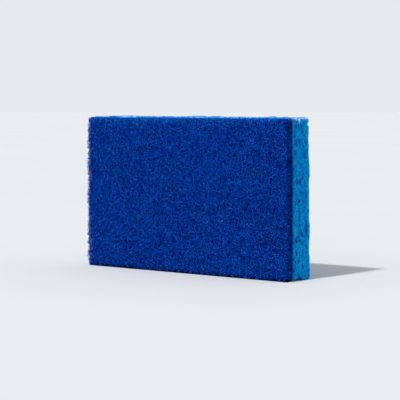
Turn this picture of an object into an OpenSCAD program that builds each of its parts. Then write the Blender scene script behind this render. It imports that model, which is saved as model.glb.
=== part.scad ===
// Two-sided cleaning sponge, standing on one long edge.
// A scouring pad of crimped fibres is glued over the whole face of an open-celled cellulose block.
// Millimetres. +X runs along the length, +Z up the height and +Y back through the thickness,
// so the scouring face looks towards -Y. The origin is under the middle, on the surface it stands on.

/* [Outline] */
// Length of the sponge, along X
length = 114; // [80:1:130]
// Height of the sponge as it stands, along Z
height = 70; // [50:1:85]
// Radius of the four die-cut corners
corner_radius = 1.2; // [0.8:0.2:6]

/* [Scouring pad] */
// Thickness of the fibre pad
pad_thickness = 3.7; // [3:0.1:8]
// How far the face fibres stand out of the felted middle of the pad
face_loft = 1.1; // [0.6:0.1:1.6]
// How far the cut fibre ends stand out round the edge of the pad
edge_loft = 0.4; // [0.2:0.1:0.8]
// Width of a fibre bundle
fibre_width = 0.65; // [0.5:0.05:1]
// Length of a fibre bundle, on average
fibre_length = 14; // [8:1:20]
// Sideways bow of a fibre bundle, at most
fibre_bow = 2.2; // [0.5:0.1:4]
// Spacing of the fibre bundles in the lower layer of the web
fibre_pitch = 7.4; // [7:0.1:12]
// Layers of cut fibre ends down the rim of the pad
rim_layers = 3; // [1:1:5]

/* [Bond layer] */
// Thickness of the adhesive between pad and cellulose
bond_thickness = 0.3; // [0.2:0.1:1]
// How far the adhesive stops short of the cut edge
bond_setback = 0.2; // [0.1:0.1:0.9]

/* [Cellulose sponge] */
// Thickness of the cellulose block
sponge_thickness = 12; // [9:0.5:18]
// Softness of the edges round the wiping face
edge_softness = 0.8; // [0.4:0.1:2.4]
// Radius of the smallest open cell
cell_min = 0.6; // [0.5:0.1:1]
// Radius of the largest open cell
cell_max = 2.3; // [1.3:0.1:3]
// Length that a cell gains along the height, in cell radii
cell_stretch = 1.6; // [0.4:0.1:3]
// Spacing of the cells over the wiping face
cell_pitch = 9; // [8:0.1:14]
// Spacing of the cells over the top and bottom edges
edge_cell_pitch = 6.2; // [5:0.1:12]
// Spacing of the cells over the two short ends
end_cell_pitch = 4.4; // [4:0.1:10]
// Length of the tall torn cell in the right-hand end
torn_length = 8; // [4:0.5:12]
// Height of the middle of the torn cell
torn_height = 22.4; // [10:0.2:40]
// Distance of the torn cell from the wiping face
torn_setback = 2.6; // [2:0.1:5]
// Radius of the torn cell
torn_radius = 1.1; // [0.7:0.1:1.5]
// Cellulose left whole in front of the adhesive
skin = 0.5; // [0.3:0.1:2]

/* [Hidden] */

// Planes across the thickness, from the scouring face to the wiping face
front_y = -(pad_thickness + bond_thickness + sponge_thickness) / 2;
felt_front_y = front_y + face_loft;
pad_back_y = front_y + pad_thickness;
sponge_front_y = pad_back_y + bond_thickness;
back_y = sponge_front_y + sponge_thickness;

pad_colour = "#1450a8";
bond_colour = "#2f8f8a";
sponge_colour = "#38a8dc";

corner_steps = 24;    // facets of a whole turn at the die-cut corners
scatter = 0.42;       // how far a fibre or cell strays from its grid, in grid steps
bundle_steps = 6;     // straight stretches of one fibre bundle
hairline = 0.1;       // width of a bundle before it is thickened
shortest = 0.7;       // shortest bundle, as a share of the average
cut_slack = 0.06;     // extra cut-back of the bundle ends, inside the final cut
root_depth = 0.3;     // depth of the lower layer's roots below the front of the felt
upper_root = 0.45;    // depth of the upper layer's roots
lower_share = 0.55;   // height of the web's lower layer, as a share of the loft
upper_spacing = 1.3;  // spacing of the upper layer's bundles against the lower layer's
rim_gap = 0.15;       // felt left bare between the web's roots and the rim's first layer
rim_share = 0.75;     // thickness of a rim layer, as a share of its spacing
soft_steps = [1, 0.3, 0]; // stops across a softened edge, from its start to the wiping face
cell_sides = 5;       // sides of a cell
lobe_ratio = 0.75;    // radius of a cell's lower bubble against its upper one
small_bias = 1.8;     // how much commoner small cells are than large ones
lean_limit = 30;      // greatest lean of a cell away from the height

// Starts of the random runs
web_seed = 40;
rim_seed = 60;
cell_seed = 38;
face_place_seed = 21;
edge_place_seed = 22;
end_place_seed = 25;

// Rounded rectangle of the sponge's face, standing on the X axis, set in by inset
module outline(inset = 0) {
    radius = max(corner_radius - inset, 0.1);
    translate([0, height / 2])
        offset(r = radius, $fn = corner_steps)
            square([length - 2 * (inset + radius), height - 2 * (inset + radius)], center = true);
}

// A flat shape drawn in length and height, as a plate from depth y0 to depth y1
module plate(y0, y1) {
    translate([0, y1, 0])
        rotate([90, 0, 0])
            linear_extrude(y1 - y0)
                children();
}

// Points of a scattered grid over a field w wide and h high, centred on the origin
function scattered(w, h, pitch, seed) =
    let(
        columns = max(1, round(w / pitch)),
        rows = max(1, round(h / pitch)),
        r = rands(-scatter, scatter, 2 * columns * rows, seed)
    )
    [for (i = [0 : columns - 1], j = [0 : rows - 1])
        let(k = 2 * (i * rows + j))
        [(i + 0.5 + r[k]) * w / columns - w / 2, (j + 0.5 + r[k + 1]) * h / rows - h / 2]];

// One crimped fibre bundle as a hairline along X, bowed to one side and curled end to end
module bundle(long, bow, curl) {
    line = [for (i = [0 : bundle_steps])
        let(t = i / bundle_steps)
        [long * (t - 0.5), bow * sin(180 * t) + curl * sin(360 * t)]];
    half = [0, hairline / 2];
    polygon(concat(
        [for (i = [0 : bundle_steps]) line[i] + half],
        [for (i = [bundle_steps : -1 : 0]) line[i] - half]
    ));
}

// Flat web of bundles at random headings, cut to the outline of the pad
module web(pitch, seed) {
    thicken = (fibre_width - hairline) / 2;
    places = scattered(length, height, pitch, seed);
    r = rands(0, 1, 4 * len(places), seed + 1);
    intersection() {
        outline();
        offset(delta = thicken)
            intersection() {
                outline(thicken + cut_slack);
                for (i = [0 : len(places) - 1])
                    translate([places[i][0], places[i][1] + height / 2])
                        rotate(360 * r[4 * i])
                            bundle(
                                fibre_length * (shortest + 2 * (1 - shortest) * r[4 * i + 1]),
                                fibre_bow * (2 * r[4 * i + 2] - 1),
                                fibre_bow * (r[4 * i + 3] - 0.5)
                            );
            }
    }
}

// Flat slice of the ends that the same sort of web leaves where the pad is cut
module rim_ends(seed) {
    difference() {
        web(fibre_pitch, seed);
        outline(edge_loft + root_depth);
    }
}

// Felt with two layers of web standing out of its face, and cut ends standing out of its rim
module scouring_pad() {
    rim_front_y = felt_front_y + upper_root + rim_gap;
    rim_step = (pad_back_y - rim_front_y) / rim_layers;
    color(pad_colour) {
        plate(felt_front_y, pad_back_y)
            outline(edge_loft);
        plate(felt_front_y - lower_share * face_loft, felt_front_y + root_depth)
            web(fibre_pitch, web_seed);
        plate(front_y, felt_front_y + upper_root)
            web(fibre_pitch * upper_spacing, web_seed + 10);
        for (layer = [0 : rim_layers - 1])
            plate(rim_front_y + layer * rim_step, rim_front_y + (layer + rim_share) * rim_step)
                rim_ends(rim_seed + layer);
    }
}

module bond_layer() {
    color(bond_colour)
        plate(pad_back_y, sponge_front_y)
            outline(bond_setback);
}

// Block with its edges softened round the wiping face
module block() {
    hull()
        for (share = soft_steps)
            plate(sponge_front_y, back_y - share * edge_softness)
                outline((1 - share) * (1 - share) * edge_softness);
}

// One open cell of two merged bubbles, long in the direction of the height
module cell(radius, lean, turn) {
    rotate([lean, 0, turn])
        hull() {
            translate([0, 0, radius * cell_stretch / 2])
                sphere(radius, $fn = cell_sides);
            translate([0, 0, -radius * cell_stretch / 2])
                sphere(radius * lobe_ratio, $fn = cell_sides);
        }
}

// Cells centred on a list of points, each kept clear of the glued face by the skin
module cells(points) {
    r = rands(0, 1, 3 * len(points), cell_seed);
    for (i = [0 : len(points) - 1]) {
        p = points[i];
        radius = cell_min + (cell_max - cell_min) * pow(r[3 * i], small_bias);
        reach = radius * (1 + cell_stretch / 2 * sin(lean_limit));
        translate([p[0], max(p[1], sponge_front_y + skin + reach), p[2]])
            cell(radius, lean_limit * (2 * r[3 * i + 1] - 1), 360 * r[3 * i + 2]);
    }
}

// The tall torn cell that opens in the right-hand end, near the wiping face
module torn_cell() {
    reach = torn_length / 2 - torn_radius;
    translate([length / 2, back_y - torn_setback, torn_height])
        hull()
            for (side = [-1, 1])
                translate([0, 0, side * reach])
                    sphere(torn_radius, $fn = cell_sides + 1);
}

module cellulose_sponge() {
    depth = sponge_thickness - skin;
    mid_y = back_y - depth / 2;
    wiping_face = [for (p = scattered(length, height, cell_pitch, face_place_seed))
        [p[0], back_y, p[1] + height / 2]];
    long_edges = [for (level = [0, 1],
            p = scattered(length, depth, edge_cell_pitch, edge_place_seed + level))
        [p[0], mid_y + p[1], level * height]];
    ends = [for (side = [-1, 1], p = scattered(depth, height, end_cell_pitch, end_place_seed + side))
        [side * length / 2, mid_y + p[0], p[1] + height / 2]];
    color(sponge_colour)
        difference() {
            block();
            cells(concat(wiping_face, long_edges, ends));
            torn_cell();
        }
}

scouring_pad();
bond_layer();
cellulose_sponge();
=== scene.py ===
"""Cleaning sponge standing on a long edge: scouring pad, glue line and open-celled cellulose.

Lengths are millimetres in the frame of the solids, and meshes are written in metres: +X runs
along the length, +Y back from the scouring face and +Z up.
"""

import math

import bpy
import numpy as np
import openvdb
from mathutils import Matrix, Vector


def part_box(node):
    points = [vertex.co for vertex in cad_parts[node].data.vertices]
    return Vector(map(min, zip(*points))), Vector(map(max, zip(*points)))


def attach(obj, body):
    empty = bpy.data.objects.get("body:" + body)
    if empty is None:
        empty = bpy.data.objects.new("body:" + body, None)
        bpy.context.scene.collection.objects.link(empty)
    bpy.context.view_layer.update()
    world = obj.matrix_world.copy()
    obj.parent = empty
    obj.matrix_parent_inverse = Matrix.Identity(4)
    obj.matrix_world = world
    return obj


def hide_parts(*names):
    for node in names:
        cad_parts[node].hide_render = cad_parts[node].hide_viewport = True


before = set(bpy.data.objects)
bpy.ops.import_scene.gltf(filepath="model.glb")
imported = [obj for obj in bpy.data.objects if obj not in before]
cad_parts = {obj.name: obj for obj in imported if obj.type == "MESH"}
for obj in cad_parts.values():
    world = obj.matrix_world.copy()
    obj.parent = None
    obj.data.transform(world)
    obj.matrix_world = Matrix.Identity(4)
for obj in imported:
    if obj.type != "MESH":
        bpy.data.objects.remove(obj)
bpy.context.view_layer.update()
MM = 0.001
TURN = 2 * math.pi


def box_mm(node):
    """Lower and upper corner of a node of the solids."""
    return (np.array(corner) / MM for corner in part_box(node))


(_, FRONT_Y, _), (HALF_L, PAD_BACK_Y, HEIGHT) = box_mm("scouring_pad")
(_, BOND_FRONT_Y, _), (_, BOND_BACK_Y, _) = box_mm("bond_layer")
(_, BLOCK_FRONT_Y, _), (_, BACK_Y, _) = box_mm("cellulose_sponge")
MID_Z = HEIGHT / 2
CORNER = 1.2  # radius of the die-cut corners
SMALLEST_CORNER = 0.3  # radius that the corners keep where the outline is set in

# Starts of the random runs
WEB_SEED = 5
FELT_SEED = 8
GRIT_SEED = 12
GLUE_SEED = 21
CELL_SEED = 31


# ---------------------------------------------------------------- mesh helpers


def add_object(name, data):
    """An object for the data, linked into the scene."""
    obj = bpy.data.objects.new(name, data)
    bpy.context.scene.collection.objects.link(obj)
    return obj


def mesh_object(name, verts_mm, faces, smooth=True):
    """A mesh from arrays: vertices and quads or triangles of vertex numbers."""
    faces = np.asarray(faces, np.int32)
    mesh = bpy.data.meshes.new(name)
    mesh.vertices.add(len(verts_mm))
    mesh.vertices.foreach_set("co", (np.asarray(verts_mm, np.float32) * MM).ravel())
    corners = faces.shape[1]
    mesh.loops.add(faces.size)
    mesh.loops.foreach_set("vertex_index", faces.ravel())
    mesh.polygons.add(len(faces))
    mesh.polygons.foreach_set("loop_start", np.arange(0, faces.size, corners, dtype=np.int32))
    mesh.polygons.foreach_set("use_smooth", np.full(len(faces), smooth))
    mesh.update(calc_edges=True)
    mesh.validate()
    return add_object(name, mesh)


def mixed_object(name, verts_mm, faces):
    """A smooth mesh from a list of faces that mixes triangles and quads."""
    mesh = bpy.data.meshes.new(name)
    mesh.from_pydata((np.asarray(verts_mm) * MM).tolist(), [], faces)
    mesh.validate()
    obj = add_object(name, mesh)
    shade_smooth(obj)
    return obj


def shade_smooth(obj):
    polygons = obj.data.polygons
    polygons.foreach_set("use_smooth", np.full(len(polygons), True))


def point_attribute(obj, name, values):
    obj.data.attributes.new(name, "FLOAT", "POINT").data.foreach_set(
        "value", np.asarray(values, np.float32)
    )


def around(count):
    """Each number below count with the one after it, and the last with 0."""
    return [(i, (i + 1) % count) for i in range(count)]


def ring_faces(rings, count, closed=False):
    """Quads that join each ring of points to the next, and if closed the last to the first."""
    faces = []
    for ring in range(rings if closed else rings - 1):
        a, b = ring * count, (ring + 1) % rings * count
        faces += [(a + i, a + j, b + j, b + i) for i, j in around(count)]
    return faces


def rounded(a, b, radius):
    """Distance from two sides that meet in a rounded edge, where a and b start at its centre."""
    outside = np.hypot(np.maximum(a, 0), np.maximum(b, 0))
    return outside + np.minimum(np.maximum(a, b), 0) - radius


def rounded_distance(x, z):
    """Signed distance from the sponge's outline, negative inside."""
    return rounded(np.abs(x) - (HALF_L - CORNER), np.abs(z - MID_Z) - (MID_Z - CORNER), CORNER)


def outline_points(count, inset):
    """Points evenly round the outline, with the outward normal of each, in the XZ plane."""
    radius = max(CORNER - inset, SMALLEST_CORNER)
    a, b = HALF_L - inset - radius, MID_Z - inset - radius
    arc = radius * math.pi / 2
    lengths = [2 * b, arc, 2 * a, arc, 2 * b, arc, 2 * a, arc]
    total = sum(lengths)
    points, normals = [], []
    for s in np.arange(count) * total / count:
        k = 0
        while s > lengths[k]:
            s -= lengths[k]
            k += 1
        side, on_arc = divmod(k, 2)
        start = Matrix.Rotation(side * math.pi / 2, 2)
        h, w = ((b, a), (a, b))[side % 2]
        if on_arc:
            turn = s / radius
            n = Vector((math.cos(turn), math.sin(turn)))
            p = Vector((w, h)) + n * radius
        else:
            n = Vector((1, 0))
            p = Vector((w + radius, s - h))
        p, n = start @ p, start @ n
        points.append((p[0], p[1] + MID_Z))
        normals.append((n[0], n[1]))
    return np.array(points), np.array(normals)


def smooth_noise(shape, cell, rng):
    """Smooth random field on a grid, about one bump for each cell grid steps along each axis."""
    cell = np.broadcast_to(cell, len(shape))
    field = rng.uniform(-1, 1, [int(math.ceil(n / c)) + 2 for n, c in zip(shape, cell)])
    for axis, (n, c) in enumerate(zip(shape, cell)):
        at = np.arange(n) / c
        low = at.astype(int)
        t = at - low
        t = t * t * (3 - 2 * t)
        view = [1] * len(shape)
        view[axis] = n
        t = t.reshape(view)
        field = np.take(field, low, axis) * (1 - t) + np.take(field, low + 1, axis) * t
    return field.astype(np.float32)


# ---------------------------------------------------------------- materials


class Nodes:
    """Short calls for building one material's node tree."""

    def __init__(self, name):
        self.material = bpy.data.materials.new(name)
        self.material.use_nodes = True
        self.tree = self.material.node_tree
        self.shader = self.tree.nodes["Principled BSDF"]
        self.coords = self.add("ShaderNodeTexCoord").outputs["Object"]

    def feed(self, value, socket):
        """Gives a socket its value: the output of a node, a colour or a number."""
        if isinstance(value, bpy.types.NodeSocket):
            self.tree.links.new(value, socket)
        elif isinstance(value, tuple):
            socket.default_value = (*value, 1)
        else:
            socket.default_value = value

    def add(self, kind, **values):
        """A new node, with values for its settings or its sockets (where _ stands for a space)."""
        node = self.tree.nodes.new(kind)
        for key, value in values.items():
            if hasattr(node, key):
                setattr(node, key, value)
            else:
                self.feed(value, node.inputs[key.replace("_", " ")])
        return node

    def set(self, **sockets):
        """Feeds the sockets of the shader, and returns the finished material."""
        for key, value in sockets.items():
            self.feed(value, self.shader.inputs[key.replace("_", " ")])
        return self.material

    def stretched(self, scale):
        """Object coordinates, scaled by three factors."""
        node = self.add("ShaderNodeMapping", Vector=self.coords)
        node.inputs["Scale"].default_value = scale
        return node.outputs["Vector"]

    def noise(self, scale, detail=3.0, roughness=0.55):
        node = self.add(
            "ShaderNodeTexNoise",
            Vector=self.coords,
            Scale=scale,
            Detail=detail,
            Roughness=roughness,
        )
        return node.outputs["Fac"]

    def voronoi(self, scale, vector):
        return self.add("ShaderNodeTexVoronoi", Vector=vector, Scale=scale).outputs["Distance"]

    def warped(self, vector, noise, amount):
        """The vector pushed about by a noise."""
        node = self.add("ShaderNodeVectorMath", operation="ADD")
        self.feed(vector, node.inputs[0])
        self.feed(self.math("MULTIPLY", noise, amount), node.inputs[1])
        return node.outputs["Vector"]

    def attribute(self, name):
        return self.add("ShaderNodeAttribute", attribute_name=name).outputs["Fac"]

    def remap(self, value, low, high, to_low=0.0, to_high=1.0):
        node = self.add(
            "ShaderNodeMapRange",
            clamp=True,
            Value=value,
            From_Min=low,
            From_Max=high,
            To_Min=to_low,
            To_Max=to_high,
        )
        return node.outputs["Result"]

    def math(self, operation, a, b):
        node = self.add("ShaderNodeMath", operation=operation)
        self.feed(a, node.inputs[0])
        self.feed(b, node.inputs[1])
        return node.outputs[0]

    def ramp(self, value, *stops):
        node = self.add("ShaderNodeValToRGB", Fac=value)
        elements = node.color_ramp.elements
        while len(elements) < len(stops):
            elements.new(0.5)
        for element, (position, colour) in zip(elements, stops):
            element.position = position
            element.color = (*colour, 1)
        return node.outputs["Color"]

    def mix(self, share, a, b):
        """Colour a where the share is 0 and b where it is 1."""
        node = self.add("ShaderNodeMix", data_type="RGBA")
        # the sockets for colours come after those for numbers and vectors
        for value, socket in ((share, 0), (a, 6), (b, 7)):
            self.feed(value, node.inputs[socket])
        return node.outputs[2]

    def bump(self, height, strength, distance):
        node = self.add("ShaderNodeBump", Height=height, Strength=strength, Distance=distance)
        return node.outputs["Normal"]


def fibre_material():
    n = Nodes("scouring_fibre")
    tone = n.attribute("tone")
    depth = n.attribute("depth")
    resin = n.noise(2300, 2)
    drift = n.noise(45, 2)
    shade = n.math("ADD", n.math("MULTIPLY", tone, 0.42), n.math("MULTIPLY", drift, 0.2))
    shade = n.math("ADD", shade, n.remap(resin, 0.32, 0.68, -0.37, 0.71))
    lit = n.ramp(
        shade,
        (0.15, (0.0, 0.017, 0.27)),
        (0.5, (0.0, 0.072, 0.66)),
        (0.8, (0.0, 0.131, 0.82)),
        (1.0, (0.01, 0.26, 0.85)),
    )
    # painted shade: fibres sunk behind the face or in from the cut edge darken, and those at the
    # foot go near black as painted shadow
    painted_shade_colour = n.mix(n.remap(depth, 0.2, 1.0), lit, (0.0, 0.009, 0.105))
    painted_shade_colour = n.mix(n.remap(depth, 2.6, 3.0), painted_shade_colour, (0.0, 0.001, 0.012))
    return n.set(
        Base_Color=painted_shade_colour,
        Roughness=n.remap(resin, 0.3, 0.7, 0.5, 0.8),
        Specular_IOR_Level=0.08,
        Specular_Tint=(0.1, 0.5, 1.0),
        Normal=n.bump(resin, 0.35, 0.0001),
    )


def shade_felt_material():
    n = Nodes("scouring_shade_felt")
    strands = n.noise(700, 5, 0.65)
    # painted shade: the felt is coloured as the shaded inside of the web, near black
    colour = n.ramp(strands, (0.3, (0.0, 0.004, 0.045)), (0.75, (0.0, 0.016, 0.13)))
    return n.set(
        Base_Color=colour,
        Roughness=0.9,
        Specular_IOR_Level=0.05,
        Normal=n.bump(strands, 0.8, 0.0004),
    )


def grit_material():
    n = Nodes("scouring_grit")
    spots = n.noise(1500, 2)
    colour = n.ramp(spots, (0.35, (0.10, 0.36, 0.78)), (0.65, (0.42, 0.62, 0.95)))
    return n.set(
        Base_Color=colour,
        Roughness=n.remap(spots, 0.3, 0.7, 0.25, 0.5),
        Normal=n.bump(spots, 0.5, 0.00005),
    )


def glue_material():
    n = Nodes("adhesive")
    patches = n.noise(160, 3)
    fine = n.noise(1200, 3)
    film = n.ramp(patches, (0.3, (0.0, 0.050, 0.17)), (0.7, (0.0, 0.110, 0.26)))
    # the bead is squeezed-out glue at the top corner, and its lighter green is a painted highlight
    # where the light falls there
    colour = n.mix(n.attribute("bead"), film, (0.07, 0.22, 0.20))
    return n.set(
        Base_Color=colour,
        Roughness=n.remap(fine, 0.3, 0.7, 0.45, 0.8),
        Specular_IOR_Level=0.08,
        Normal=n.bump(fine, 0.5, 0.0001),
    )


def cellulose_material():
    n = Nodes("cellulose")
    warp = n.noise(500, 2)
    tall = n.warped(n.stretched((1.0, 1.0, 0.6)), warp, 0.0007)
    coarse = n.voronoi(860, tall)
    fine = n.voronoi(2100, tall)
    drift = n.noise(60, 3)
    grain = n.noise(2600, 3)
    depth = n.attribute("depth")
    highlight_share = n.attribute("painted_highlight")
    wall = n.ramp(
        n.math("ADD", n.math("MULTIPLY", drift, 0.6), n.math("MULTIPLY", grain, 0.8)),
        (0.5, (0.0, 0.235, 0.62)),
        (0.9, (0.0, 0.345, 0.80)),
    )
    # painted shade: darker colour in the fine pores and deeper inside the block, where shade falls
    pore = (0.0, 0.155, 0.60)
    hole = n.math(
        "MAXIMUM",
        n.remap(coarse, 0.48, 0.22, 0.0, 1.0),
        n.remap(fine, 0.38, 0.18, 0.0, 0.75),
    )
    colour = n.mix(hole, wall, pore)
    # painted shade that deepens with depth inside the block
    colour = n.mix(n.remap(depth, 0.3, 1.8, 0.0, 0.45), colour, pore)
    # painted highlight: pale where the light catches the top rim and two spots of the near end
    highlight_share = n.math("MULTIPLY", highlight_share, n.remap(grain, 0.35, 0.6, 0.5, 1.0))
    colour = n.mix(highlight_share, colour, (0.78, 0.95, 1.0))
    level = n.math("ADD", n.math("MULTIPLY", grain, 0.25), n.math("SUBTRACT", 1.0, hole))
    return n.set(
        Base_Color=colour,
        Roughness=n.remap(grain, 0.3, 0.7, 0.75, 0.95),
        Specular_IOR_Level=0.03,
        Specular_Tint=(0.1, 0.6, 1.0),
        Normal=n.bump(level, 0.8, 0.0004),
    )


def floor_material():
    n = Nodes("pale_floor")
    cloud = n.noise(3, 2)
    return n.set(
        Base_Color=n.ramp(cloud, (0.3, (0.60, 0.62, 0.64)), (0.7, (0.62, 0.64, 0.66))),
        Roughness=0.9,
        Specular_IOR_Level=0.1,
    )


# ---------------------------------------------------------------- scouring pad

FIBRE_LENGTH = (3.0, 5.5)
FIBRE_RADIUS = (0.07, 0.12)
STOUT_RADIUS = (0.09, 0.15)  # of the cut ends and of the fibres under the foot
FIBRE_POINTS = 5
END_POINTS = 4
TUBE_SIDES = 3
TIP_TAPER = 0.55
FRONT_OVERHANG = 0.25  # how far in front of the solid's face a centre line may come
FLOOR_GAP = 0.02  # how low a centre line may come
FOOT_SPREAD = 0.35  # how much further the cut edge stands out at the foot than at the top
EDGE_BAND = 6  # distance from an edge within which the web is cut in its own way
RIM_DEPTH = 3.0  # distance from the outline within which the rim's fibres have their middles
END_ROOT = 0.9  # distance inside the outline from which the cut ends start
FACE_MARGIN = 1  # distance past the outline up to which the web's fibres are scattered
CLUMP_CELL = 1.5
CLUMP_COLUMNS, CLUMP_ROWS = 80, 50
UV_MARGIN, UV_FILL = 0.07, 0.86  # of a fibre's block in the UV map
PAINTED_FOOT_SHADOW_DEPTH = 4.0  # depth for fibres at the foot, past the deepest stop of their material, which paints them in shadow

# Layers of the web: name, fibres, depth of their middles behind the face, whether they keep to
# the rim, how far they weave in and out, how far past the outline they are cut, and the same
# close to the floor
WEB_LAYERS = (
    ("web_deep", 5800, (0.9, 1.9), False, (0.15, 0.6), (-0.1, 0.15), (-0.2, 0.1)),
    ("web_mid", 7900, (0.45, 1.2), False, (0.15, 0.6), (-0.1, 0.3), (-0.1, 0.2)),
    ("web_face", 8100, (0.15, 0.7), False, (0.15, 0.55), (-0.1, 0.6), (-0.3, 0.3)),
    ("web_rim", 6200, (0.9, 3.6), True, (0.1, 0.5), (-0.2, 0.6), (-0.2, 0.1)),
)
END_COUNT = 4200
FOOT_COUNT = 1100

# Painted highlight in bands under the top edge, where the light falls on the cut fibres: gain,
# distance below the top where it starts, and distance over which it comes in
PAINTED_HIGHLIGHT_BANDS = ((0.16, 8, 5), (0.36, 3.2, 1.6), (0.40, 1.6, 1.2))


def cut_edge(z):
    """How far the pad's cut edge stands out of the outline at a height."""
    wander = 0.14 * np.sin(0.45 * z) + 0.10 * np.sin(1.3 * z + 1.0)
    return FOOT_SPREAD * (1 - z / HEIGHT) + wander


def draw(rng, low, high, count):
    """Even random draws as a column, one for each fibre."""
    return rng.uniform(low, high, (count, 1))


def tones(count, rng):
    return np.clip(rng.normal(0.5, 0.28, count), 0, 1)


def curled_paths(centres, lift, rng):
    """Centre lines of fibres that curl in the plane of the pad and weave in and out of it."""
    count = len(centres)
    long = draw(rng, *FIBRE_LENGTH, count)
    s = np.linspace(-0.5, 0.5, FIBRE_POINTS) * long
    wave = draw(rng, 2.6, 7.0, count)
    swing = draw(rng, 0.5, 1.4, count)
    heading = (
        draw(rng, 0, TURN, count)
        + swing * np.sin(TURN * s / wave + draw(rng, 0, TURN, count))
        + rng.normal(0, 0.09, (count, 1)) * s
    )
    step = long / (FIBRE_POINTS - 1)
    x = np.cumsum(np.cos(heading) * step, 1)
    z = np.cumsum(np.sin(heading) * step, 1)
    middle = FIBRE_POINTS // 2
    x += centres[:, :1] - x[:, middle : middle + 1]
    z += centres[:, 2:] - z[:, middle : middle + 1]
    weave = draw(rng, 2.2, 5.0, count)
    y = centres[:, 1:2] + lift * np.sin(TURN * s / weave + draw(rng, 0, TURN, count))
    return np.stack([x, y, z], 2)


def cut_to_outline(paths, past):
    """Cuts each path where it leaves the outline grown by past. Also says what stays of it."""
    d = rounded_distance(paths[:, :, 0], paths[:, :, 2]) - past[:, None]
    inside = d < 0
    for here, there in ((slice(1, None), slice(None, -1)), (slice(None, -1), slice(1, None))):
        leaves = ~inside[:, here] & inside[:, there]
        t = d[:, there] / np.where(leaves, d[:, there] - d[:, here], 1)
        cut = paths[:, there] + (paths[:, here] - paths[:, there]) * t[:, :, None]
        paths[:, here] = np.where(leaves[:, :, None], cut, paths[:, here])
    live = inside[:, 1:] | inside[:, :-1]
    return paths, live


def unit(vectors):
    """The vectors of each path at length one."""
    return vectors / (np.linalg.norm(vectors, axis=2, keepdims=True) + 1e-9)


def tubes(name, paths, radius, tone, live=None):
    """Thin tubes along paths as one mesh. Live says which stretches of each path are kept."""
    count, points, _ = paths.shape
    if live is None:
        live = np.ones((count, points - 1), bool)
    along = unit(np.gradient(paths, axis=1))
    up = unit(np.cross(along, np.array([0.0, 1.0, 0.0])))
    side = np.cross(along, up)
    turn = (np.arange(TUBE_SIDES) * TURN / TUBE_SIDES)[None, None, :, None]
    taper = np.ones(points)
    taper[[0, -1]] = TIP_TAPER
    width = (radius[:, None] * taper)[:, :, None, None]
    rings = paths[:, :, None] + width * (
        np.cos(turn) * up[:, :, None] + np.sin(turn) * side[:, :, None]
    )
    fibre, stretch, flank = (
        numbers[live].ravel()
        for numbers in np.meshgrid(
            np.arange(count), np.arange(points - 1), np.arange(TUBE_SIDES), indexing="ij"
        )
    )
    near = (fibre * points + stretch) * TUBE_SIDES
    far = near + TUBE_SIDES
    after = (flank + 1) % TUBE_SIDES
    quads = np.stack([near + flank, near + after, far + after, far + flank], 1)
    used, quads = np.unique(quads, return_inverse=True)
    at = rings.reshape(-1, 3)[used]
    obj = mesh_object(name, at, quads.reshape(-1, 4))
    owner = used // (points * TUBE_SIDES)
    # the tone carries each fibre's own tone plus the painted highlight under the top edge
    point_attribute(obj, "tone", tone[owner] + painted_top_highlight(at))
    # painted shade and painted shadow, carried as a depth
    point_attribute(obj, "depth", painted_shade_depth(at))
    uv_blocks(obj, fibre, stretch, flank, count, points - 1)
    return obj


def painted_top_highlight(at):
    """Painted highlight: how much lighter the fibres are close under the top edge, where the light
    falls on them.
    """
    under_top = at[:, 2] - HEIGHT
    return sum(gain * np.clip((under_top + start) / over, 0, 1) for gain, start, over in PAINTED_HIGHLIGHT_BANDS)


def painted_shade_depth(at):
    """Depth that darkens a fibre as painted shade: behind the face and in from the cut edge, with
    a painted shadow at the foot.
    """
    x, y, z = at.T
    inside = -rounded_distance(x, z)
    # painted shade on the cut edge, which faces away from the key light, with less of it just
    # under the top
    rim_shade = np.where(z > HEIGHT - 0.9, 0.15, 0.56)
    depth = np.minimum(y - FRONT_Y, rim_shade + 2 * np.maximum(inside - 0.3, 0))
    # painted shadow along the foot, where the pad meets the floor
    foot_shadow_line = 0.70 + 0.36 * np.sin(x * 2.7 + 2 * np.sin(x * 0.83))
    foot_shadow_line = foot_shadow_line * np.clip((x + HALF_L - 0.6) / 1.6, 0, 1)
    return np.where(z < foot_shadow_line, PAINTED_FOOT_SHADOW_DEPTH, depth)


def uv_blocks(obj, fibre, stretch, flank, count, stretches):
    """A UV map with a block for each of count fibres, in which its quads lie unrolled."""
    columns = math.ceil(math.sqrt(count))
    cell = 1 / columns
    du, dv = UV_FILL * cell / stretches, UV_FILL * cell / TUBE_SIDES
    u = (fibre % columns) / columns + UV_MARGIN * cell + stretch * du
    v = (fibre // columns) / columns + UV_MARGIN * cell + flank * dv
    uv = np.stack([u, v, u, v + dv, u + du, v + dv, u + du, v], 1)
    layer = obj.data.uv_layers.new(name="OFBake")
    layer.data.foreach_set("uv", uv.astype(np.float32).ravel())


def scattered(count, rng):
    """Places spread evenly over the face, each strayed within its own patch of a grid."""
    wide, high = 2 * HALF_L + 2 * FACE_MARGIN, HEIGHT + 2 * FACE_MARGIN
    columns = math.ceil(math.sqrt(count * wide / high))
    rows = math.ceil(count / columns)
    patch = rng.permutation(columns * rows)[:count]
    column, row = divmod(patch, rows)
    x = (column + rng.uniform(0, 1, count)) * wide / columns - HALF_L - FACE_MARGIN
    z = (row + rng.uniform(0, 1, count)) * high / rows - FACE_MARGIN
    return x, z


def moved_to_rim(x, z, rng):
    """The places moved close to the outline: straight up or down, or straight to an end."""
    count = len(x)
    first = rng.uniform(0, 1, count) < 0.5
    off = rng.uniform(0, RIM_DEPTH, count)
    long_side = rng.uniform(0, 1, count) < HALF_L / (HALF_L + MID_Z)
    x = np.where(long_side, x, np.where(first, off - HALF_L, HALF_L - off))
    z = np.where(long_side, np.where(first, off, HEIGHT - off), z)
    return x, z


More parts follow.
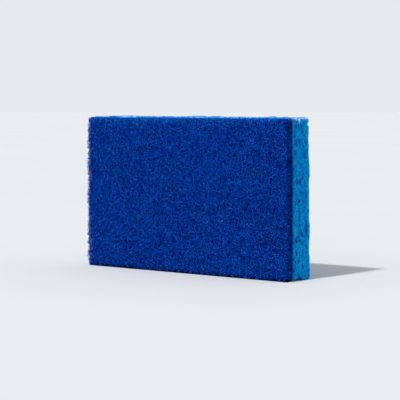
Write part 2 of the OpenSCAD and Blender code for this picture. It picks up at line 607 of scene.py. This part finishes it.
def web_cut(x, y, z, past, past_at_floor, rng):
    """How far past the outline each fibre with its middle at x, y and z is cut."""
    count = len(x)
    clump = smooth_noise((CLUMP_COLUMNS, CLUMP_ROWS), 1.0, rng)
    column = np.clip((x + HALF_L + FACE_MARGIN) / CLUMP_CELL, 0, CLUMP_COLUMNS - 1).astype(int)
    row = np.clip(z / CLUMP_CELL, 0, CLUMP_ROWS - 1).astype(int)
    cut = rng.uniform(*past, count) + 0.35 * clump[column, row]
    cut += cut_edge(z)
    cut = np.where(z > HEIGHT - EDGE_BAND, cut * 0.5 - 0.3, np.minimum(cut, 0.75))
    cut = np.where(z < EDGE_BAND, rng.uniform(*past_at_floor, count), cut)
    # rounds the face off at the end that the photograph shows
    shoulder = np.clip(1.35 - (y - FRONT_Y), 0, 1.2)
    return cut - np.where(x > HALF_L - EDGE_BAND, shoulder, 0)


def web_layer(rng, name, count, depths, at_rim, lift, past, past_at_floor):
    """One layer of curled fibres, cut to the outline."""
    x, z = scattered(count, rng)
    if at_rim:
        x, z = moved_to_rim(x, z, rng)
    y = FRONT_Y + rng.uniform(*depths, count)
    paths = curled_paths(np.stack([x, y, z], 1), draw(rng, *lift, count), rng)
    paths[:, :, 1] = np.clip(paths[:, :, 1], FRONT_Y - FRONT_OVERHANG, PAD_BACK_Y - 0.15)
    paths, live = cut_to_outline(paths, web_cut(x, y, z, past, past_at_floor, rng))
    radius = rng.uniform(*FIBRE_RADIUS, count)
    paths[:, :, 2] = np.maximum(paths[:, :, 2], FLOOR_GAP)
    return tubes(name, paths, radius, tones(count, rng), live)


def pad_fibres():
    """The web: three layers over the face, the rim's fibres, cut ends and fibres below, darkened
    with painted shadow.
    """
    rng = np.random.default_rng(WEB_SEED)
    share = 1.0
    groups = [web_layer(rng, name, int(count * share), *rest) for name, count, *rest in WEB_LAYERS]
    groups.append(cut_ends(int(END_COUNT * share), rng))
    groups.append(foot_fibres(int(FOOT_COUNT * share), rng))
    return groups


def foot_fibres(count, rng):
    """Fibres that lie along the floor under the front of the pad, darkened with painted shadow."""
    x = draw(rng, -HALF_L + 2.4, HALF_L - 0.6, count)
    heading = rng.normal(0, 0.12, (count, 1))
    s = np.linspace(-0.5, 0.5, FIBRE_POINTS) * draw(rng, 2.5, 5.0, count)
    wave = 0.14 * np.sin(s * 2.3 + draw(rng, 0, TURN, count))
    y = FRONT_Y + draw(rng, -0.2, 0.9, count) + heading * s
    z = draw(rng, 0.08, 0.5, count) + wave
    x = np.clip(x + s, -HALF_L + 1.4, HALF_L)
    y = np.maximum(y + wave, FRONT_Y - 0.28)
    paths = np.stack([x, y, np.maximum(z, 0.06)], 2)
    radius = rng.uniform(*STOUT_RADIUS, count)
    return tubes("web_foot", paths, radius, np.full(count, 0.3))


def cut_ends(count, rng):
    """Short stubs that stand out all round the cut edge."""
    places, normals = outline_points(count, END_ROOT)
    x, z = places.T
    top, low = z > HEIGHT - 2, z < 2
    away = np.arctan2(normals[:, 1], normals[:, 0]) + rng.normal(0, 0.75, count)
    across, up = np.cos(away)[:, None], np.sin(away)[:, None]
    clump = smooth_noise((count,), 18, rng)
    reach = END_ROOT + np.clip(rng.uniform(-0.05, 0.5, count) + 0.55 * clump, -0.4, 1.0)
    reach += cut_edge(z)
    reach += np.where(x > 0, -0.2, 0.12)
    reach = np.where(top, reach - 0.5, np.where(low, 0.95, reach))
    s = np.linspace(0, 1, END_POINTS) * reach[:, None]
    bend = np.clip(rng.normal(0, 0.5, (count, 1)) * s * s, -1, 1)
    near = np.where(x > HALF_L - 1, 1.0, 0.15)
    near = np.where(low, FRONT_Y - 0.1, FRONT_Y + near)
    x = np.clip(x[:, None] + across * s - up * bend, -HALF_L - 2.6, HALF_L + 2.6)
    z = z[:, None] + up * s + across * bend
    y = rng.uniform(near, PAD_BACK_Y - 0.3)[:, None] + rng.normal(0, 0.35, (count, 1)) * s
    y = np.maximum(y, FRONT_Y - FRONT_OVERHANG)
    paths = np.stack([x, y, np.maximum(z, FLOOR_GAP)], 2)
    radius = rng.uniform(*STOUT_RADIUS, count)
    return tubes("web_ends", paths, radius, tones(count, rng))


def pad_shade_felt():
    """Middle of the web, seen only through gaps between fibres, coloured dark as painted shade."""
    count = 320
    levels = [
        # depth and inset
        (FRONT_Y + 1.45, 3.0),
        (FRONT_Y + 1.5, 1.6),
        (FRONT_Y + 2.0, 1.1),
        (PAD_BACK_Y - 0.5, 1.0),
        (PAD_BACK_Y, 0.9),
    ]
    rng = np.random.default_rng(FELT_SEED)
    rings = []
    for y, inset in levels:
        points, normals = outline_points(count, inset)
        points = points + normals * draw(rng, -0.15, 0.15, count)
        low = np.clip((5 - points[:, 1]) / (5 - inset), 0, 1)
        points[:, 1] -= (inset - 0.04) * low
        rings.append(np.stack([points[:, 0], np.full(count, y), points[:, 1]], 1))
    verts = np.concatenate(rings + [[(0, levels[0][0], MID_Z)], [(0, PAD_BACK_Y, MID_Z)]])
    front, back = len(verts) - 2, len(verts) - 1
    faces = ring_faces(len(levels), count)
    last = (len(levels) - 1) * count
    for i, j in around(count):
        faces += [(front, j, i), (back, last + i, last + j)]
    return mixed_object("pad_shade_felt", verts, faces)


def grit():
    """Mineral specks stuck to the outermost fibres."""
    rng = np.random.default_rng(GRIT_SEED)
    count = 230
    centres = np.stack(
        [
            rng.uniform(-HALF_L + 1, HALF_L - 1, count),
            FRONT_Y + rng.uniform(0.0, 0.6, count),
            rng.uniform(1, HEIGHT - 1, count),
        ],
        1,
    )
    tips = np.array([(1, 0, 0), (0, 1, 0), (-1, 0, 0), (0, -1, 0), (0, 0, 1), (0, 0, -1)], float)
    size = rng.uniform(0.08, 0.19, count)[:, None, None]
    jitter = rng.uniform(0.6, 1.2, (count, 6, 1))
    verts = centres[:, None] + tips[None] * size * jitter
    tri = np.array(
        [(0, 1, 4), (1, 2, 4), (2, 3, 4), (3, 0, 4), (1, 0, 5), (2, 1, 5), (3, 2, 5), (0, 3, 5)]
    )
    faces = (np.arange(count)[:, None, None] * 6 + tri[None]).reshape(-1, 3)
    return mesh_object("grit", verts.reshape(-1, 3), faces, smooth=False)


# ---------------------------------------------------------------- glue line


def glue_line():
    """Adhesive film with an uneven bead where it was squeezed to the cut edge."""
    count = 900
    rng = np.random.default_rng(GLUE_SEED)
    squeeze = smooth_noise((count,), 6, rng) * 0.6 + smooth_noise((count,), 25, rng) * 0.4
    levels = [
        # depth, inset and swell of the bead, round the section of the film
        (BOND_FRONT_Y - 0.02, 1.4, 0.0),
        (BOND_FRONT_Y - 0.22, 0.50, 0.06),
        (BOND_FRONT_Y + 0.02, 0.30, 0.14),
        (BOND_BACK_Y - 0.02, 0.28, 0.14),
        (BOND_BACK_Y + 0.18, 0.46, 0.06),
        (BOND_BACK_Y + 0.02, 1.4, 0.0),
    ]
    rings, beads = [], []
    for y, inset, swell in levels:
        points, normals = outline_points(count, inset)
        from_corner = np.hypot(points[:, 0] - HALF_L, points[:, 1] - HEIGHT + 0.7)
        bead = np.clip(1.2 - from_corner / 1.3, 0, 0.7)
        points = points + normals * (squeeze * swell + bead * 0.35 * (swell > 0))[:, None]
        shift = squeeze * 0.08 * (swell > 0)
        beads.append(bead)
        rings.append(np.stack([points[:, 0], y + shift, points[:, 1]], 1))
    faces = ring_faces(len(levels), count, closed=True)
    obj = mesh_object("glue_line", np.concatenate(rings), faces)
    # the bead share swells the glue at the top corner and paints a highlight there
    point_attribute(obj, "bead", np.concatenate(beads))
    return obj


# ---------------------------------------------------------------- cellulose block

GRID_STEP = 0.36
GRID_BORDER = 1.2
SOFT_EDGE = 0.8  # radius of the edges round the wiping face
BLOCK_SPREAD = 0.9  # how much further the block reaches at the foot than at the top
BACK_BULGE = 0.35  # how far the wiping face may stand behind the solid's
BLOCK_FLOOR_GAP = 0.03
FAR = 9.0  # distance where no cell is near
CARVE_BORDER = 0.8  # distance round a cell over which its distances are worked out
CELL_BLEND = 0.18  # how softly two cells run into each other
BLOCK_TRIANGLES = 190000
WIPING_CELLS = 120

# Unevenness of the surface: size of a bump along X, Y and Z, and its height
RIPPLES = (((6.0, 6.0, 7.0), 0.25), ((2.4, 2.4, 3.5), 0.2), ((1.0, 1.0, 1.4), 0.12))

# Cells in each cubic mm, smallest and largest radius, and how much commoner the small ones are
CELL_CLASSES = ((0.42, 0.34, 0.60, 1.2), (0.04, 0.6, 1.15, 2.2))

# The torn cells in the end that the photograph shows, one tall and one notched into the back
# edge: centre, radii and lean
TORN_CELLS = (
    ((HALF_L - 0.4, 5.3, 22.6), (2.0, 1.0, 3.9), 0.05),
    ((HALF_L, BACK_Y - 0.1, 67.2), (1.3, 1.2, 0.9), 0.0),
)


class Grid:
    """Points round the block in even steps, with the distance from each to the open cells."""

    def __init__(self, step):
        self.step = step
        self.lo = np.array([-HALF_L, BLOCK_FRONT_Y, 0.0]) - GRID_BORDER
        self.hi = np.array([HALF_L, BACK_Y, HEIGHT]) + GRID_BORDER
        self.shape = tuple(int(math.ceil(n)) for n in (self.hi - self.lo) / step)
        axes = [low + np.arange(n) * step for low, n in zip(self.lo, self.shape)]
        self.x, self.y, self.z = (
            places.astype(np.float32) for places in np.meshgrid(*axes, indexing="ij", sparse=True)
        )
        self.pores = np.full(self.shape, FAR, np.float32)

    def noise(self, bump, rng):
        """Smooth random field with bumps of the given sizes along X, Y and Z."""
        return smooth_noise(self.shape, np.array(bump) / self.step, rng)

    def carve(self, centre, radii, lean, turn):
        """Adds one cell, leaned over and then turned about the height."""
        reach = radii.max() + CARVE_BORDER
        a = np.maximum(np.floor((centre - reach - self.lo) / self.step).astype(int), 0)
        b = np.ceil((centre + reach - self.lo) / self.step).astype(int) + 1
        b = np.minimum(b, self.shape)
        if (a >= b).any():
            return
        dx = self.x[a[0] : b[0]] - centre[0]
        dy = self.y[:, a[1] : b[1]] - centre[1]
        dz = self.z[:, :, a[2] : b[2]] - centre[2]
        cos, sin = math.cos(turn), math.sin(turn)
        u, v = dx * cos + dy * sin, -dx * sin + dy * cos
        cos, sin = math.cos(lean), math.sin(lean)
        u, w = u * cos + dz * sin, -u * sin + dz * cos
        q = np.sqrt((u / radii[0]) ** 2 + (v / radii[1]) ** 2 + (w / radii[2]) ** 2)
        d = (q - 1) * radii.min()
        box = tuple(slice(p, r) for p, r in zip(a, b))
        old = self.pores[box]
        h = np.clip(0.5 + 0.5 * (old - d) / CELL_BLEND, 0, 1)
        self.pores[box] = old * (1 - h) + d * h - CELL_BLEND * h * (1 - h)


def whole_block(grid, rng):
    """Signed distance from the block's uneven surface, before any cell is cut."""
    y, z = grid.y, grid.z
    field = rounded(rounded_distance(grid.x, z) + SOFT_EDGE, y - BACK_Y + SOFT_EDGE, SOFT_EDGE)
    field = field.astype(np.float32)
    near_rim = np.clip(1 + field / 2.2, 0, 1)
    ripple = sum(grid.noise(bump, rng) * tall for bump, tall in RIPPLES)
    jag = grid.noise((2.0, 2.0, 9.0), rng)
    crest = grid.noise((2.2, 7.0, 9.0), rng)
    field += ripple - 0.05 - BLOCK_SPREAD * (1 - z / HEIGHT)
    # set back beside the glue line
    field += 0.5 * np.clip(1 - (y - BLOCK_FRONT_Y) / 0.9, 0, 1)
    # crests along the top edge
    field -= 0.35 * np.clip(z - HEIGHT + 1, 0, 1) * np.clip(crest + 0.15, 0, 1)
    field = np.maximum(field, y - BACK_Y - BACK_BULGE)
    # ragged gap under the foot, shallower at the back
    gap = (0.8 + jag) * (1 - 0.6 * np.clip((y - BACK_Y + 5) / 3, 0, 1))
    return np.maximum(field, near_rim * gap - z)


def depth_inside(at):
    """Depth below the nearest bare face, be it the rim or the wiping face."""
    return -np.maximum(rounded_distance(at[:, 0], at[:, 2]), at[:, 1] - BACK_Y)


def cut_cells(grid, rng):
    """Cells in all the bare faces, then the larger ones of the wiping face and the torn ones."""
    for density, small, large, bias in CELL_CLASSES:
        count = int(density * np.prod(grid.hi - grid.lo))
        centres = rng.uniform(grid.lo, grid.hi, (count, 3))
        size = small + (large - small) * rng.uniform(0, 1, count) ** bias
        stretch = rng.uniform(1.2, 2.5, count)
        flat = rng.uniform(0.75, 1.2, count)
        lean = rng.normal(0, 0.3, count)
        turn = rng.uniform(0, TURN, count)
        inward = depth_inside(centres)
        keep = (inward < size + 0.3) & (inward > -size * 1.2)
        # clear of the glued face, and all but the smallest clear of the edges at the back
        keep &= centres[:, 1] - size * 1.2 > BLOCK_FRONT_Y + 0.25
        edge = rounded_distance(centres[:, 0], centres[:, 2])
        from_back_edge = np.maximum(np.abs(edge), np.abs(BACK_Y - centres[:, 1]))
        keep &= from_back_edge > np.where(size > 0.42, 3.0, size + 0.5)
        for i in np.flatnonzero(keep):
            radii = size[i] * np.array([1.0, flat[i], stretch[i]])
            grid.carve(centres[i], radii, lean[i], turn[i])
    for _ in range(WIPING_CELLS):
        size = 0.9 + 1.3 * rng.uniform(0, 1) ** 1.6
        x, z = rng.uniform(7 - HALF_L, HALF_L - 7), rng.uniform(3, HEIGHT - 6)
        centre = np.array([x, BACK_Y - 0.15 * size, z])
        radii = size * np.array([1.0, rng.uniform(0.8, 1.3), rng.uniform(0.9, 1.8)])
        grid.carve(centre, radii, rng.normal(0, 0.5), rng.uniform(-0.3, 0.3))
    for centre, radii, lean in TORN_CELLS:
        grid.carve(np.array(centre), np.array(radii), lean, 0.0)


def painted_highlight(at):
    """Painted highlight where the light catches the block: along its top rim, and in two spots of
    the near end.
    """
    x, y, z = at.T
    from_rim = np.minimum(np.minimum(HALF_L - np.abs(x), BACK_Y - y), y - BLOCK_FRONT_Y)
    lit = np.clip((z - HEIGHT + 0.75) / 0.4, 0, 1) * np.clip(1.2 - from_rim / 1.1, 0.15, 1)
    back_edge = np.clip(1.6 - (BACK_Y - y) / 0.9, 0, 1)
    back_edge *= np.clip((HALF_L - 3 - x) / 6, 0, 1)
    lit *= 1 - 0.4 * back_edge
    patch = 0.5 + 0.5 * np.sin(x * 1.9 + 1.7 * np.sin(y * 2.3))
    patch *= 0.7 + 0.3 * np.sin(x * 4.7 + 2.1 * np.sin(x * 0.9))
    streak = np.clip(1.5 - np.abs(y - 0.6) / 0.26, 0, 1) * np.clip((z - 68.0) / 0.4, 0, 1)
    spot = np.clip(1.6 - np.hypot(y + 1.5, z - 69.3) / 0.35, 0, 1)
    spur = np.maximum(streak, spot)
    spur *= 0.9 * np.clip(x - HALF_L + 1.5, 0, 1)
    return np.clip(lit * (0.45 - 0.4 * back_edge + 0.55 * patch) + spur, 0, 1)


def thin_out(obj, triangles):
    """Takes a mesh down to the block's share of triangles, if it has more."""
    bpy.context.view_layer.objects.active = obj
    obj.select_set(True)
    if triangles > BLOCK_TRIANGLES:
        thin = obj.modifiers.new("thin", "DECIMATE")
        thin.ratio = BLOCK_TRIANGLES / triangles
        bpy.ops.object.modifier_apply(modifier=thin.name)
        obj.data.validate()


def cellulose_block():
    """Block whose bare faces are eaten by thousands of open cells, from a distance field."""
    rng = np.random.default_rng(CELL_SEED)
    grid = Grid(GRID_STEP)
    field = whole_block(grid, rng)
    cut_cells(grid, rng)
    for limit in (-grid.pores, BLOCK_FRONT_Y - grid.y, BLOCK_FLOOR_GAP - grid.z):
        field = np.maximum(field, limit)
    volume = openvdb.FloatGrid(background=3.0)
    volume.copyFromArray(np.clip(field, -1.5, 1.5).astype(np.float32))
    points, quads = volume.convertToQuads(isovalue=0.0)
    obj = mesh_object("cellulose_block", points * grid.step + grid.lo, quads[:, ::-1])
    thin_out(obj, 2 * len(quads))
    at = np.empty(len(obj.data.vertices) * 3, np.float32)
    obj.data.vertices.foreach_get("co", at)
    at = at.reshape(-1, 3) / MM
    point_attribute(obj, "depth", depth_inside(at))
    # painted highlight along the top rim and at the near end
    point_attribute(obj, "painted_highlight", painted_highlight(at))
    shade_smooth(obj)
    return obj


# ---------------------------------------------------------------- build


def finish_piece(obj, material, node):
    obj.data.materials.append(material)
    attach(obj, "root")
    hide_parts(node)


fibre = fibre_material()
for web in pad_fibres():
    finish_piece(web, fibre, "scouring_pad")
felt = pad_shade_felt()
finish_piece(felt, shade_felt_material(), "scouring_pad")
finish_piece(grit(), grit_material(), "scouring_pad")
finish_piece(glue_line(), glue_material(), "bond_layer")
block = cellulose_block()
finish_piece(block, cellulose_material(), "cellulose_sponge")


# ---------------------------------------------------------------- stage

LENS, SENSOR = 133.65, 36
CAMERA_PLACE = (0.4133, -0.5266, 0.0757)  # metres
CAMERA_ROUND, CAMERA_DOWN = 37.88, 3.69  # degrees from facing the pad, and down from level
KEY_TOWARD = (-0.055, -0.62, 0.78)
KEY_STRENGTH, KEY_ANGLE = 2.9, 4.0
KEY_COLOUR = (1.0, 0.98, 0.95)
SKY_LIGHT = (0.62, 0.64, 0.66)
SKY_SEEN = (0.80, 0.82, 0.84)
FLOOR_RADIUS = 14  # metres


def add_camera():
    """Camera solved from the corners of the face and of the end."""
    data = bpy.data.cameras.new("camera")
    data.lens, data.sensor_width = LENS, SENSOR
    obj = add_object("camera", data)
    obj.location = CAMERA_PLACE
    obj.rotation_euler = (math.radians(90 - CAMERA_DOWN), 0, math.radians(CAMERA_ROUND))
    bpy.context.scene.camera = obj


def add_key():
    """Distant lamp in front of the object and high above it."""
    data = bpy.data.lights.new("key", "SUN")
    data.energy = KEY_STRENGTH
    data.angle = math.radians(KEY_ANGLE)
    data.color = KEY_COLOUR
    obj = add_object("key", data)
    obj.rotation_euler = Vector(KEY_TOWARD).to_track_quat("Z", "Y").to_euler()


def add_world():
    """Even sky light, with the background that the camera sees set by itself."""
    world = bpy.data.worlds.new("studio")
    bpy.context.scene.world = world
    world.use_nodes = True
    tree = world.node_tree
    tree.nodes.clear()
    lit, shown = (tree.nodes.new("ShaderNodeBackground") for _ in range(2))
    lit.inputs["Color"].default_value = (*SKY_LIGHT, 1)
    shown.inputs["Color"].default_value = (*SKY_SEEN, 1)
    path = tree.nodes.new("ShaderNodeLightPath")
    mix = tree.nodes.new("ShaderNodeMixShader")
    out = tree.nodes.new("ShaderNodeOutputWorld")
    tree.links.new(path.outputs["Is Camera Ray"], mix.inputs[0])
    tree.links.new(lit.outputs[0], mix.inputs[1])
    tree.links.new(shown.outputs[0], mix.inputs[2])
    tree.links.new(mix.outputs[0], out.inputs["Surface"])


def add_floor():
    bpy.ops.mesh.primitive_circle_add(
        vertices=96, radius=FLOOR_RADIUS, fill_type="NGON", location=(0, 0, 0)
    )
    floor = bpy.context.object
    floor.name = "floor"
    floor.data.materials.append(floor_material())


add_camera()
add_key()
add_world()
add_floor()
bpy.context.scene.view_settings.view_transform = "Standard"
